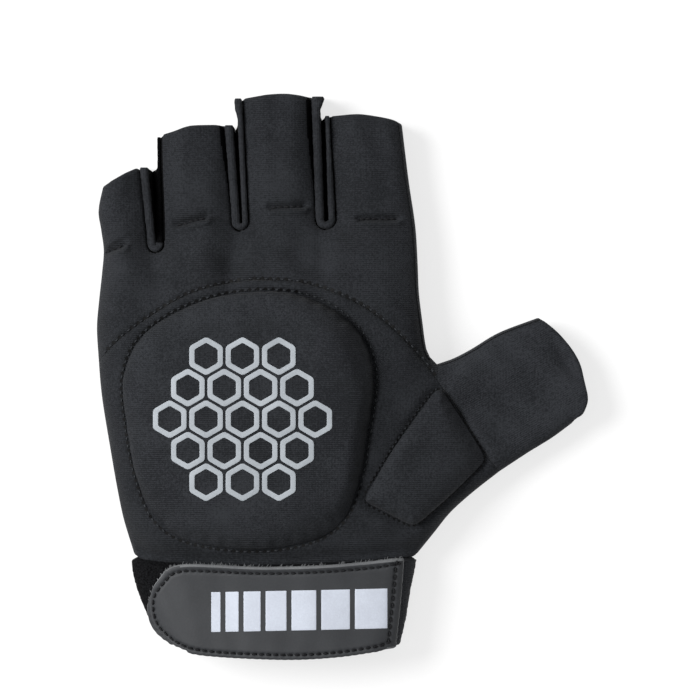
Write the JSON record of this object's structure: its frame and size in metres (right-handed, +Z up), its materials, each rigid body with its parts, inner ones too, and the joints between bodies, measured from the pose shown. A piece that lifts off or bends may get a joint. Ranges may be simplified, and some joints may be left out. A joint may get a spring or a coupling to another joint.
{
  "type": "field hockey glove",
  "caption": "Left-hand padded stretch-cloth glove with open finger and thumb ends, side strips, two back pads and a closing wrist tab.",
  "frame": {"origin": "middle of the glove's outline, on the surface that the palm lies on", "axes": "+Y from the wrist to the fingertips, +X towards the thumb, +Z up out of the back of the hand"},
  "size_m": [0.1521, 0.1741, 0.0321],
  "materials": {
    "back_cloth": "ribbed stretch knit, charcoal",
    "pad_cover": "ribbed stretch knit over foam, charcoal",
    "palm_cloth": "smooth suede-like cloth, dark grey",
    "loop_cloth": "black loop pile",
    "strap_cloth": "coated cloth, dark grey"
  },
  "bodies": {
    "root": {"finger_back_panel": "back_cloth", "hand_back_panel": "back_cloth", "back_pad": "pad_cover", "thumb_back_panel": "back_cloth", "thumb_pad": "pad_cover", "palm_panel": "palm_cloth", "thumb_palm_panel": "palm_cloth", "fourchette_little_ring": "back_cloth", "fourchette_ring_middle": "back_cloth", "fourchette_middle_index": "back_cloth", "cuff_band": "loop_cloth", "strap": "strap_cloth"}
  },
  "joints": []
}
